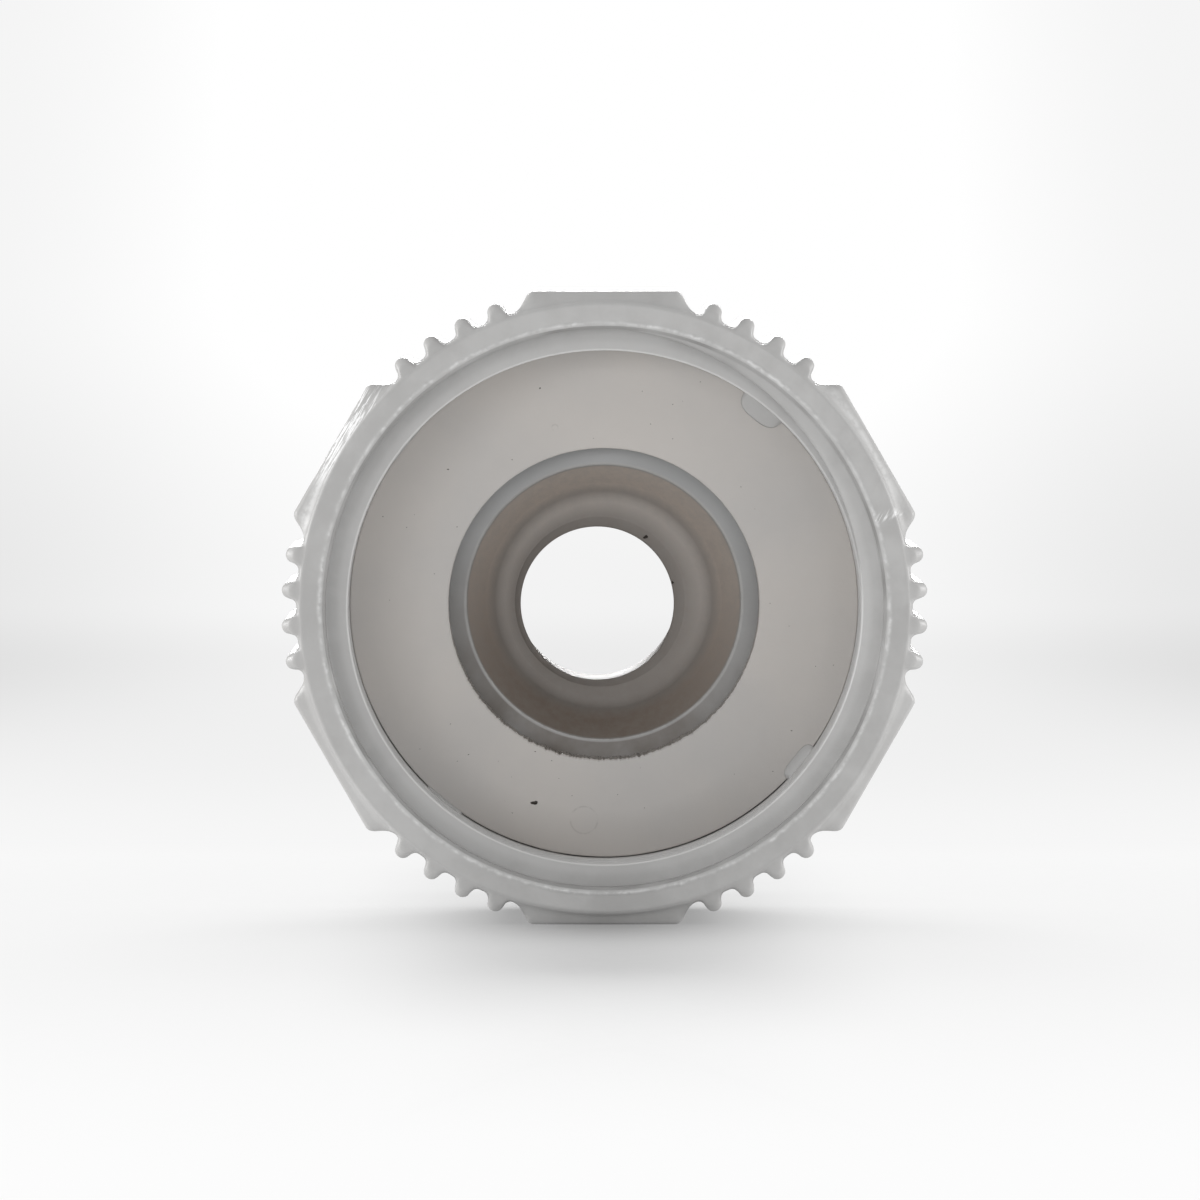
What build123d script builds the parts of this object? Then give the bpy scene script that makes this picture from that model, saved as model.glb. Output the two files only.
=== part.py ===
from build123d import *
from build123d.topology import SkipClean
from math import cos, radians, sin, tan
import os

# Sizes are in millimetres and degrees. Depths are measured from the mouth face along the axis.

# Threaded mouth, for a G 3/4 tap
thread_major_radius = 13.22
thread_height = 1.02
thread_depth = 8.2
thread_runout = 0.3
mouth_chamfer = 0.16

# Turns of the thread, right-hand, with a first stretch that rises out of the wall
thread_pitch = 1.814
thread_half_foot = 0.72
thread_flank_angle = 27.5
thread_start_depth = 0.98
thread_start_angle = 85.0
thread_stretch_angle = 60.0
thread_stretches = 20
sections_per_stretch = 4
lead_in_angle = 85.0
lead_in_dip = 0.05
thread_burial = 0.3
crest_allowance = 0.1

# Waterway through the spigot, whose core pin stands a little off the axis
bore_radius = 3.72
bore_shift_x = -0.3
bore_shift_z = -0.2
bore_edge_break = 0.4

# Throat and funnel between the bore and the washer seat
throat_ledge = 0.43
throat_rise = 1.18
throat_length = 1.5
throat_rounding = 0.8
funnel_taper = 1.27
funnel_length = 4.8
funnel_edge_break = 0.25

# Sealing washer in its pocket
seat_ledge = 0.6
washer_thickness = 3.0
washer_side_clearance = 0.1
washer_front_clearance = 0.1

# Nibs that hold the washer in
nib_angles = (51.0, 141.0, 231.0, 321.0)
nib_reaches = (0.75, 0.3, 0.45, 0.6)
nib_width = 2.1
nib_length = 0.9
nib_corner = 0.15

# Collar with its lip and six flats
collar_wall = 1.38
lip_step = 0.06
lip_rounding = 0.4
sides = 6
flat_rise = 0.4
flat_half_angle = 13.0
flat_corner = 0.4
flat_flank_angle = 26.0
grip_start = 0.45
grip_front_step = 0.4
grip_front_slope = 0.4
grip_rear_step = 0.15
grip_rear_slope = 1.0
root_overlap = 0.3

# Finger ribs, in a group on each corner of the grip
ribs_per_group = 4
rib_pitch_angle = 6.5
rib_height = 0.71
rib_base_width = 1.0
rib_tip_rounding = 0.27
valley_rounding = 0.3

# Shoulder behind the grip
throat_cover = 0.9
rear_step = 0.1
shoulder_length = 1.6
shoulder_drop = 3.1
shoulder_rounding = 1.0

# Quick-connect spigot
barrel_radius = 7.9
barrel_length = 5.2
neck_depth = 0.8
neck_length = 4.3
neck_rounding = 0.5
lock_height = 0.85
lock_land_length = 1.5
lock_ramp_length = 2.0
lock_edge_break = 0.15
groove_width = 3.0
tip_step = 0.15
tip_length = 1.9
tip_chamfer = 0.6

# O-ring in its groove
o_ring_section = 2.5
o_ring_inner_radius = 6.05
o_ring_clearance = 0.03

# Radii that follow from the sizes
throat_radius = bore_radius + throat_ledge
funnel_end_radius = throat_radius + throat_rise
funnel_mouth_radius = funnel_end_radius + funnel_taper
seat_inner_radius = funnel_mouth_radius + funnel_edge_break
washer_hole_radius = seat_inner_radius + seat_ledge
pocket_radius = thread_major_radius - thread_height
washer_outer_radius = pocket_radius - washer_side_clearance
valley_radius = thread_major_radius + collar_wall
flat_distance = valley_radius + flat_rise
rib_tip_radius = valley_radius + rib_height
lip_radius = valley_radius - lip_step
shoulder_start_radius = valley_radius - rear_step
shoulder_end_radius = shoulder_start_radius - shoulder_drop
neck_radius = barrel_radius - neck_depth
lock_radius = barrel_radius + lock_height
tip_radius = barrel_radius - tip_step
groove_radius = o_ring_inner_radius - o_ring_clearance

# Depths that follow from the sizes
runout_end = thread_depth + thread_runout
washer_front = runout_end + nib_length + washer_front_clearance
seat_depth = washer_front + washer_thickness
funnel_end = seat_depth + funnel_length
throat_end = funnel_end + throat_length
grip_end = throat_end + throat_cover
shoulder_end = grip_end + shoulder_length
neck_end = shoulder_end + neck_length
lock_end = neck_end + lock_land_length
ramp_end = lock_end + lock_ramp_length
barrel_end = ramp_end + barrel_length
groove_end = barrel_end + groove_width
total_length = groove_end + tip_length

# Directions, and how far a cut runs past the face that it opens
sector_angle = 360 / sides
front = Plane.XZ
overrun = 1.0


def rounded_outline(corners):
    """Closed face through corners of (across, along, rounding), with its roundings."""
    face = make_face(Polyline([(u, v) for u, v, _ in corners], close=True))
    for rounding in sorted({corner[2] for corner in corners if corner[2] > 0}):
        spots = [Vector(u, v) for u, v, size in corners if size == rounding]
        chosen = [p for p in face.vertices() if min((p.center() - s).length for s in spots) < 1e-6]
        face = fillet(chosen, rounding)
    return face


def lathe(corners):
    """Turned solid about the axis, from corners of (radius, depth, rounding)."""
    return revolve(rounded_outline(corners), Axis.Y)


def prism(section, start, length):
    """Section drawn as seen from the mouth, run back from one depth for a length."""
    return extrude(Pos(0, start, 0) * (front * section), amount=-length)


def flat_section():
    """One flat of the grip, standing on the collar at the top."""
    half_top = flat_distance * tan(radians(flat_half_angle))
    rise = flat_distance - valley_radius * cos(radians(flat_half_angle)) + root_overlap
    half_base = half_top + rise * tan(radians(flat_flank_angle))
    return rounded_outline([
        (-half_base, flat_distance - rise, 0),
        (-half_top, flat_distance, flat_corner),
        (half_top, flat_distance, flat_corner),
        (half_base, flat_distance - rise, 0),
    ])


def rib_section():
    """One finger rib at the top, with a round tip and straight sides."""
    foot = valley_radius - root_overlap
    half_base = rib_base_width / 2
    tip_centre = rib_tip_radius - rib_tip_rounding
    sides_of_rib = make_face(Polyline([
        (-half_base, foot),
        (-rib_tip_rounding, tip_centre),
        (rib_tip_rounding, tip_centre),
        (half_base, foot),
    ], close=True))
    return sides_of_rib + Pos(0, tip_centre) * Circle(rib_tip_rounding)


def grip_section():
    """Cross-section of the grip: six flats with a group of ribs between each two."""
    section = Circle(valley_radius)
    for side in range(sides):
        section += Rot(0, 0, side * sector_angle) * flat_section()
        for number in range(ribs_per_group):
            offset = (number - (ribs_per_group - 1) / 2) * rib_pitch_angle
            section += Rot(0, 0, (side + 0.5) * sector_angle + offset) * rib_section()
    feet = [p for p in section.vertices() if abs(p.center().length - valley_radius) < 1e-4]
    return fillet(feet, valley_rounding)


def grip():
    """Ribs and flats of the collar, with their two ends sloped."""
    reach = flat_distance / cos(radians(flat_half_angle))
    envelope = lathe([
        (0, grip_start, 0),
        (valley_radius + grip_front_step, grip_start, 0),
        (reach, grip_start + grip_front_slope, 0),
        (reach, grip_end - grip_rear_slope, 0),
        (valley_radius + grip_rear_step, grip_end, 0),
        (0, grip_end, 0),
    ])
    return prism(grip_section(), grip_start, grip_end - grip_start) & envelope


def turned_outside():
    """Collar, shoulder and spigot as one turned blank without its hollow."""
    return lathe([
        (0, 0, 0),
        (lip_radius, 0, lip_rounding),
        (lip_radius, grip_start, 0),
        (valley_radius - root_overlap, grip_start, 0),
        (valley_radius - root_overlap, grip_end, 0),
        (shoulder_start_radius, grip_end, 0),
        (shoulder_end_radius, shoulder_end, shoulder_rounding),
        (neck_radius, shoulder_end, neck_rounding),
        (neck_radius, neck_end, 0),
        (lock_radius - lock_edge_break, neck_end, 0),
        (lock_radius, neck_end + lock_edge_break, 0),
        (lock_radius, lock_end, 0),
        (barrel_radius, ramp_end, 0),
        (barrel_radius, barrel_end, 0),
        (groove_radius, barrel_end, 0),
        (groove_radius, groove_end, 0),
        (tip_radius, groove_end, 0),
        (tip_radius, total_length - tip_chamfer, 0),
        (tip_radius - tip_chamfer, total_length, 0),
        (0, total_length, 0),
    ])


def hollow():
    """Threaded mouth at its major radius, washer pocket and funnel."""
    return lathe([
        (0, -overrun, 0),
        (thread_major_radius + mouth_chamfer, -overrun, 0),
        (thread_major_radius + mouth_chamfer, 0, 0),
        (thread_major_radius, mouth_chamfer, 0),
        (thread_major_radius, thread_depth, 0),
        (pocket_radius, runout_end, 0),
        (pocket_radius, seat_depth, 0),
        (seat_inner_radius, seat_depth, 0),
        (funnel_mouth_radius, seat_depth + funnel_edge_break, 0),
        (funnel_end_radius, funnel_end, throat_rounding),
        (throat_radius, throat_end, 0),
        (0, throat_end, 0),
    ])


def thread_section(angle_turned):
    """Thread ridge at one place: upright on the wall, and taller than its crest is left."""
    rise = min(angle_turned / lead_in_angle, 1)
    height = rise * (thread_height + crest_allowance + lead_in_dip) - lead_in_dip
    slope = tan(radians(thread_flank_angle))
    half_top = thread_half_foot - height * slope
    half_base = thread_half_foot + thread_burial * slope
    top = thread_major_radius - height
    base = thread_major_radius + thread_burial
    corners = [(base, -half_base), (top, -half_top), (top, half_top), (base, half_base)]
    angle = radians(thread_start_angle - angle_turned)
    outward = Vector(cos(angle), 0, sin(angle))
    middle = (0, thread_start_depth + thread_pitch * angle_turned / 360, 0)
    place = Plane(middle, x_dir=outward, z_dir=outward.cross(Vector(0, 1, 0)))
    return place * make_face(Polyline(corners, close=True))


def thread():
    """Thread in stretches that meet end to end, each with its crest cut round."""
    crest_bore = prism(Circle(pocket_radius), -overrun, seat_depth)
    step = thread_stretch_angle / sections_per_stretch
    stretches = []
    for number in range(thread_stretches):
        start = number * thread_stretch_angle
        sections = [thread_section(start + step * count) for count in range(sections_per_stretch + 1)]
        stretches.append(loft(sections) - crest_bore)
    return stretches


def waterway():
    """Round bore through the spigot, with its edge in the throat eased."""
    length = total_length - throat_end
    bore = prism(Circle(bore_radius), throat_end - overrun, length + 2 * overrun)
    mouth = rounded_outline([
        (0, throat_end - bore_edge_break, 0),
        (bore_radius + bore_edge_break, throat_end - bore_edge_break, 0),
        (bore_radius, throat_end + bore_edge_break, 0),
        (0, throat_end + bore_edge_break, 0),
    ])
    return Pos(bore_shift_x, 0, bore_shift_z) * (bore + revolve(mouth, Axis.Y))


def nib(angle, reach):
    """One nib on the pocket wall, just in front of the washer."""
    across = nib_width / 2
    section = rounded_outline([
        (pocket_radius - reach, -across, nib_corner),
        (pocket_radius - reach, across, nib_corner),
        (pocket_radius + root_overlap, across, 0),
        (pocket_radius + root_overlap, -across, 0),
    ])
    return prism(Rot(0, 0, angle) * section, runout_end, nib_length)


def body():
    """The moulding: threaded collar with its grip, funnel and spigot."""
    moulding = turned_outside() + grip()
    with SkipClean():
        moulding = moulding - (hollow() - thread()) - waterway()
        for angle, reach in zip(nib_angles, nib_reaches):
            moulding += nib(angle, reach)
    return moulding


def sealing_washer():
    """Flat die-cut washer, lying on its seat."""
    return lathe([
        (washer_hole_radius, washer_front, 0),
        (washer_outer_radius, washer_front, 0),
        (washer_outer_radius, seat_depth, 0),
        (washer_hole_radius, seat_depth, 0),
    ])


def spigot_o_ring():
    """Round rubber ring in the middle of its groove."""
    centre = (o_ring_inner_radius + o_ring_section / 2, (barrel_end + groove_end) / 2)
    return revolve(Pos(*centre) * Circle(o_ring_section / 2), Axis.Y)


def main():
    """Write each piece, with the bottom flat on the ground and the length centred."""
    os.makedirs("parts", exist_ok=True)
    place = Pos(0, -total_length / 2, flat_distance)
    pieces = {"body": body(), "sealing_washer": sealing_washer(), "spigot_o_ring": spigot_o_ring()}
    for name, piece in pieces.items():
        export_step(place * piece, f"parts/{name}.step")
    for name, piece in pieces.items():
        centre = (place * piece).center(CenterOf.MASS)
        print(name, round(piece.volume, 1), tuple(round(c, 2) for c in centre))
    print("total length", round(total_length, 2), "seat depth", round(seat_depth, 2))


main()
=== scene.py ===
"""Dresses a female tap connector: a grey moulding, its rubber washer and its O-ring.

Sizes of the pieces are in millimetres and degrees. Depths run back from the mouth face along the
axis, which lies along Y, and angles turn anticlockwise from +X as seen from the mouth.
"""

import logging
from dataclasses import dataclass, field
from enum import Enum

import bpy
import numpy as np
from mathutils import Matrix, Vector


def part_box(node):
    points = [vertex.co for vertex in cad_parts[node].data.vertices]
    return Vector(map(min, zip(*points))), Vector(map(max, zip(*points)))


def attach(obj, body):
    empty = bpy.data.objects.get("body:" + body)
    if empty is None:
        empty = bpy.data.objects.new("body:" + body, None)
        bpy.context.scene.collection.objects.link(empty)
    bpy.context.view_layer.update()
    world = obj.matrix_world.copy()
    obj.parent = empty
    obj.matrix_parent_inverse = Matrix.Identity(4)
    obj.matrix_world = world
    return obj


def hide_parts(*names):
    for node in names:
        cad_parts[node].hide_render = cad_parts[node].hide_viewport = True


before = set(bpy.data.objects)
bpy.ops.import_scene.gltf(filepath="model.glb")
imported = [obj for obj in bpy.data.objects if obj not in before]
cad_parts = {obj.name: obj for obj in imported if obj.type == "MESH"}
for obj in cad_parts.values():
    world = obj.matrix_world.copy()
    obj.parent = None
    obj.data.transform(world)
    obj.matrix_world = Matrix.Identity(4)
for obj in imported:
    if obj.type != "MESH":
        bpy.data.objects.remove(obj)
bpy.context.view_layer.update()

MM = 0.001  # metres in a millimetre
NOISE_LENGTH = 4096  # heights before a random line repeats
ROOT = 0.4  # how deep thread and nibs stand in the wall
DRAWN_OUT = (1.0, 3.0, 1.0)  # noise stretched along the axis
log = logging.getLogger("tap_connector")

Array = np.ndarray
Pair = tuple[float, float]
Triple = tuple[float, float, float]
Socket = bpy.types.NodeSocket
Object = bpy.types.Object
Material = bpy.types.Material


class Slot(Enum):
    """Names of the pieces' materials."""

    MOULDED_GREY = "moulded_grey"
    WASHER_RUBBER = "washer_rubber"
    O_RING_RUBBER = "o_ring_rubber"


# Shapes


def soft_max(first: Array, second: Array, blend: float) -> Array:
    """Larger of two heights, plus the square of (blend less their difference) over four blends as a fillet."""
    overlap = np.maximum(blend - np.abs(first - second), 0.0)
    return np.maximum(first, second) + overlap**2 / (4.0 * blend)


def soft_min(first: Array, second: Array, blend: float) -> Array:
    """Smaller of two heights, with the crossing rounded over."""
    return -soft_max(-first, -second, blend)


def smooth_step(value: Array, low: float, high: float) -> Array:
    """Rises from 0 at low to 1 at high as three squares less two cubes."""
    share = np.clip((value - low) / (high - low), 0.0, 1.0)
    return share * share * (3.0 - 2.0 * share)


def fold(angle: Array, period: float, centre: float) -> Array:
    """Angle from the nearest of the centres that repeat each period."""
    return (angle - centre + period / 2.0) % period - period / 2.0


def bell(angle: Array, centre: float, spread: float, power: float = 2.0) -> Array:
    """Falls off on both sides of an angle: e to minus the power of the distance over the spread."""
    return np.exp(-((np.abs(fold(angle, 360.0, centre)) / spread) ** power))


def hash_noise(position: Array, seed: int) -> Array:
    """Smooth random line between -1 and 1: random heights at whole numbers, eased between them.

    Args:
        position: Where the line is read.
        seed: Which line.

    Returns:
        Height of the line at each position.
    """
    heights = np.random.default_rng(seed).uniform(-1.0, 1.0, NOISE_LENGTH)
    whole = np.floor(position).astype(int)
    share = smooth_step(position - whole, 0.0, 1.0)
    return heights[whole % NOISE_LENGTH] * (1.0 - share) + heights[(whole + 1) % NOISE_LENGTH] * share


def corner_path(corners: list[Triple], steps: int = 5) -> Array:
    """Line through corners with a circular fillet at each.

    A fillet starts at rounding over the tangent of half the corner's angle from the corner, but
    no further off than just under half of the shorter side. Its points turn evenly.

    Args:
        corners: Radius, depth and rounding of each corner in turn.
        steps: Parts of each fillet.

    Returns:
        Points of the line, one row of radius and depth for each.
    """
    spots = np.array(corners)[:, :2]
    line = [spots[0]]
    for index in range(1, len(corners) - 1):
        before = spots[index - 1] - spots[index]
        after = spots[index + 1] - spots[index]
        room = 0.49 * min(np.linalg.norm(before), np.linalg.norm(after))
        before /= np.linalg.norm(before)
        after /= np.linalg.norm(after)
        half = 0.5 * np.arccos(np.clip(before @ after, -1.0, 1.0))
        reach = min(corners[index][2] / np.tan(half), room)
        if reach <= 0.0:
            line.append(spots[index])
            continue
        middle = before + after
        centre = spots[index] + middle / np.linalg.norm(middle) * (reach / np.cos(half))
        start = spots[index] + before * reach - centre
        end = spots[index] + after * reach - centre
        sweep = np.arctan2(start[0] * end[1] - start[1] * end[0], start @ end)
        turn = np.linspace(0.0, sweep, steps + 1)[:, None]
        line.extend(centre + start * np.cos(turn) + np.array([-start[1], start[0]]) * np.sin(turn))
    line.append(spots[-1])
    return guard_runs(np.array(line))


def guard_runs(line: Array, near: float = 0.08, long: float = 0.5, stride: float = 2.2) -> Array:
    """Adds points to each long run, so that its faces shade flat.

    Args:
        line: Points of radius and depth.
        near: How far from its ends a run gets its first and last points.
        long: Length past which a run gets them.
        stride: Length of a run for each point that it gets.

    Returns:
        The line with the added points.
    """
    points = [line[:1]]
    for start, end in zip(line[:-1], line[1:]):
        length = float(np.linalg.norm(end - start))
        if length > long:
            inner = np.linspace(near, length - near, max(2, int(np.ceil(length / stride)))) / length
            points.append(start + inner[:, None] * (end - start))
        points.append(end[None, :])
    return np.vstack(points)


def turned(radius: Array, depth: Array, angle: Array) -> Array:
    """Points about the axis: across is radius times the angle's cosine, up is radius times its sine."""
    return np.stack(np.broadcast_arrays(radius * np.cos(angle), depth, radius * np.sin(angle)), axis=-1)


def grid_faces(rows: int, columns: int, first: int, close_rows: bool, close_columns: bool) -> Array:
    """Four-sided faces of a grid.

    Args:
        rows: Rows of points.
        columns: Points in each row.
        first: Number of the first point.
        close_rows: Whether the last row joins the first.
        close_columns: Whether the last column joins the first.

    Returns:
        Four point numbers for each face.
    """
    i = np.arange(rows if close_rows else rows - 1)[:, None]
    j = np.arange(columns if close_columns else columns - 1)
    up, over = (i + 1) % rows, (j + 1) % columns
    corners = (i * columns + j, i * columns + over, up * columns + over, up * columns + j)
    return np.stack(corners, -1).reshape(-1, 4) + first


def joining_faces(first: Array, second: Array, first_point: int, second_point: int) -> Array:
    """Triangles between two rings whose points stand at different angles.

    Each point closes a triangle with the point before it on its own ring and the last point
    passed on the other ring.

    Args:
        first: Rising angles of the points of one ring.
        second: Rising angles of the points of the other ring.
        first_point: Number of the first ring's first point.
        second_point: Number of the second ring's first point.

    Returns:
        Three point numbers for each face, turning as a grid's faces do from first to second.
    """
    i, j = np.arange(len(first)), np.arange(len(second))
    passed = (np.searchsorted(second, first, side="right") - 1) % len(second)
    along_first = (first_point + (i - 1) % len(first), first_point + i, second_point + passed)
    passed = (np.searchsorted(first, second, side="left") - 1) % len(first)
    along_second = (first_point + passed, second_point + j, second_point + (j - 1) % len(second))
    return np.vstack([np.stack(along_first, -1), np.stack(along_second, -1)])


def linked_object(name: str, data: bpy.types.ID) -> Object:
    """Makes an object at the origin and links it to the scene.

    Args:
        name: Name of the object.
        data: Mesh, lamp or camera that it holds.

    Returns:
        The object.
    """
    made = bpy.data.objects.new(name, data)
    bpy.context.scene.collection.objects.link(made)
    return made


def smooth_object(name: str, points: Array, faces: list[list[int]], material: Material) -> Object:
    """Makes a smoothly shaded mesh and its object.

    Args:
        name: Name of both.
        points: Points in metres.
        faces: Point numbers of each face.
        material: What it is made of.

    Returns:
        The object.
    """
    mesh = bpy.data.meshes.new(name)
    mesh.from_pydata(points.tolist(), [], faces)
    mesh.materials.append(material)
    mesh.polygons.foreach_set("use_smooth", np.ones(len(faces), bool))
    mesh.update()
    return linked_object(name, mesh)


@dataclass
class Piece:
    """A piece in its place, as closed skins of points and faces with named values at the points."""

    place: Vector
    points: list[Array] = field(default_factory=list)
    skins: list[list[Array]] = field(default_factory=list)
    marks: dict[str, list[Array]] = field(default_factory=dict)

    def add_points(self, grid: Array, **marks: Array) -> int:
        """Adds a block of points.

        Args:
            grid: Points as across, depth and up, in any shape of array.
            **marks: A value at each point for each name.

        Returns:
            Number of the block's first point.
        """
        first = sum(len(block) for block in self.points)
        self.points.append(grid.reshape(-1, 3))
        for name in {**self.marks, **marks}:
            past = self.marks.setdefault(name, [np.zeros(first)] if first else [])
            past.append(np.broadcast_to(marks.get(name, 0.0), grid.shape[:-1]).ravel())
        return first

    def add_tube(self, grid: Array, caps: bool, **marks: Array) -> None:
        """Adds a tube whose sections are closed rings, with both ends capped or joined.

        Args:
            grid: Points by section and place round it.
            caps: Whether each end is closed by a fan about its centre, or the ends join.
            **marks: A value at each point for each name.
        """
        sections, around = grid.shape[:2]
        first = self.add_points(grid, **marks)
        skin = [grid_faces(sections, around, first, not caps, True)]
        self.skins.append(skin)
        ring = np.arange(around)
        after = (ring + 1) % around
        for section, start, end in ((0, after, ring), (sections - 1, ring, after)) if caps else ():
            hub = self.add_points(grid[section].mean(axis=0)[None, :])
            row = first + section * around
            skin.append(np.stack([row + start, row + end, np.full(around, hub)], -1))

    def stand(self, name: str, material: Material) -> Object:
        """Makes the piece's object, in metres, at the origin and unturned.

        Each closed skin faces outwards, by the sign of the volume in it: a sixth of the sum, over
        all triangles, of one corner times the cross product of the two others.

        Args:
            name: Name of the piece.
            material: What it is made of.

        Returns:
            The finished object.
        """
        points = np.vstack(self.points) * MM + np.array(self.place)
        faces = []
        for skin in self.skins:
            fans = [block[:, [0, last - 1, last]] for block in skin for last in range(2, block.shape[1])]
            way = 1 if np.linalg.det(points[np.vstack(fans)]).sum() > 0.0 else -1
            faces += [face for block in skin for face in block[:, ::way].tolist()]
        piece = smooth_object(name, points, faces, material)
        for label, values in self.marks.items():
            mark = piece.data.attributes.new(label, "FLOAT", "POINT")
            mark.data.foreach_set("value", np.concatenate(values).astype(np.float32))
        return piece


# Finishes


@dataclass
class Bench:
    """Shader nodes of one material or of the room's light, wired by short calls."""

    owner: Material | bpy.types.World

    def __post_init__(self) -> None:
        """Clears the node tree and adds the object's own coordinates."""
        self.owner.use_nodes = True
        self.tree = self.owner.node_tree
        self.tree.nodes.clear()
        self.place = self.node("ShaderNodeTexCoord").outputs["Object"]

    def node(self, kind: str, feeds: dict[int | str, object] | None = None, **options: object) -> bpy.types.Node:
        """Adds a node, sets its options, then feeds its inputs.

        Args:
            kind: Type of the node.
            feeds: Socket, number or colour for each input, by name or place. None feeds nothing.
            **options: Options by name.

        Returns:
            The node.
        """
        node = self.tree.nodes.new(kind)
        for name, value in options.items():
            setattr(node, name, value)
        for key, value in (feeds or {}).items():
            if isinstance(value, bpy.types.NodeSocket):
                self.tree.links.new(value, node.inputs[key])
            elif value is not None:
                coloured = isinstance(value, tuple) and node.inputs[key].type == "RGBA"
                node.inputs[key].default_value = (*value, 1.0) if coloured else value
        return node

    def noise(
        self, scale: float, detail: float, roughness: float, stretch: Triple | None = None, turn: float = 0.0
    ) -> Socket:
        """Noise on the object's own coordinates.

        Args:
            scale: Features for each metre.
            detail: Octaves.
            roughness: Share that each octave keeps.
            stretch: How far the features are drawn out along X, Y and Z.
            turn: Angle in degrees by which X and Z are turned about Y first.

        Returns:
            The noise, about 0.5.
        """
        place = self.place
        if stretch is not None:
            feeds = {"Vector": place, "Rotation": (0.0, -np.radians(turn), 0.0), "Scale": stretch}
            place = self.node("ShaderNodeMapping", feeds, vector_type="TEXTURE").outputs["Vector"]
        feeds = {"Vector": place, "Scale": scale, "Detail": detail, "Roughness": roughness}
        return self.node("ShaderNodeTexNoise", feeds).outputs["Fac"]

    def mark(self, name: str) -> Socket:
        """Value of one of the piece's named marks."""
        return self.node("ShaderNodeAttribute", attribute_name=name).outputs["Fac"]

    def span(self, value: object, low: float, high: float, first: float = 0.0, last: float = 1.0) -> Socket:
        """Carries low to high over to first to last, smoothly and no further."""
        feeds = {"Value": value, "From Min": low, "From Max": high, "To Min": first, "To Max": last}
        return self.node("ShaderNodeMapRange", feeds, interpolation_type="SMOOTHSTEP").outputs["Result"]

    def math(self, operation: str, first: object, *others: object) -> Socket:
        """Takes the values together, one after another.

        Args:
            operation: Name of the operation.
            first: Number or socket to start from.
            *others: Numbers or sockets that follow, or none for an operation on one value.

        Returns:
            The result.
        """
        for other in others or (0.0,):
            first = self.node("ShaderNodeMath", {0: first, 1: other}, operation=operation).outputs[0]
        return first

    def total(self, *values: object) -> Socket:
        """Sum of the values."""
        return self.math("ADD", *values)

    def times(self, *values: object) -> Socket:
        """Product of the values."""
        return self.math("MULTIPLY", *values)

    def tint(self, share: object, first: object, second: object) -> Socket:
        """Colour between two: the first at a share of 0 and the second at 1."""
        return self.node("ShaderNodeMix", {"Factor": share, 6: first, 7: second}, data_type="RGBA").outputs[2]

    def near(self, spot: Triple, core: float, edge: float) -> Socket:
        """1 within core of a spot, falling to 0 at edge, all in metres."""
        distance = self.node("ShaderNodeVectorMath", {0: self.place, 1: spot}, operation="DISTANCE")
        return self.span(distance.outputs["Value"], core, edge, 1.0, 0.0)

    def relief(self, height: Socket, distance: float, strength: float = 1.0, under: Socket | None = None) -> Socket:
        """Bump that stands so many metres at a height of 1, on top of the one under it."""
        feeds = {"Height": height, "Distance": distance, "Strength": strength, "Normal": under}
        return self.node("ShaderNodeBump", feeds).outputs["Normal"]

    def surface(self, **inputs: object) -> Material:
        """Ends the tree in a Principled shader.

        Args:
            **inputs: Values or sockets by input name, with spaces as underscores.

        Returns:
            The finished material.
        """
        shader = self.node("ShaderNodeBsdfPrincipled", {name.replace("_", " "): inputs[name] for name in inputs})
        self.node("ShaderNodeOutputMaterial", {"Surface": shader.outputs["BSDF"]})
        return self.owner


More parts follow.
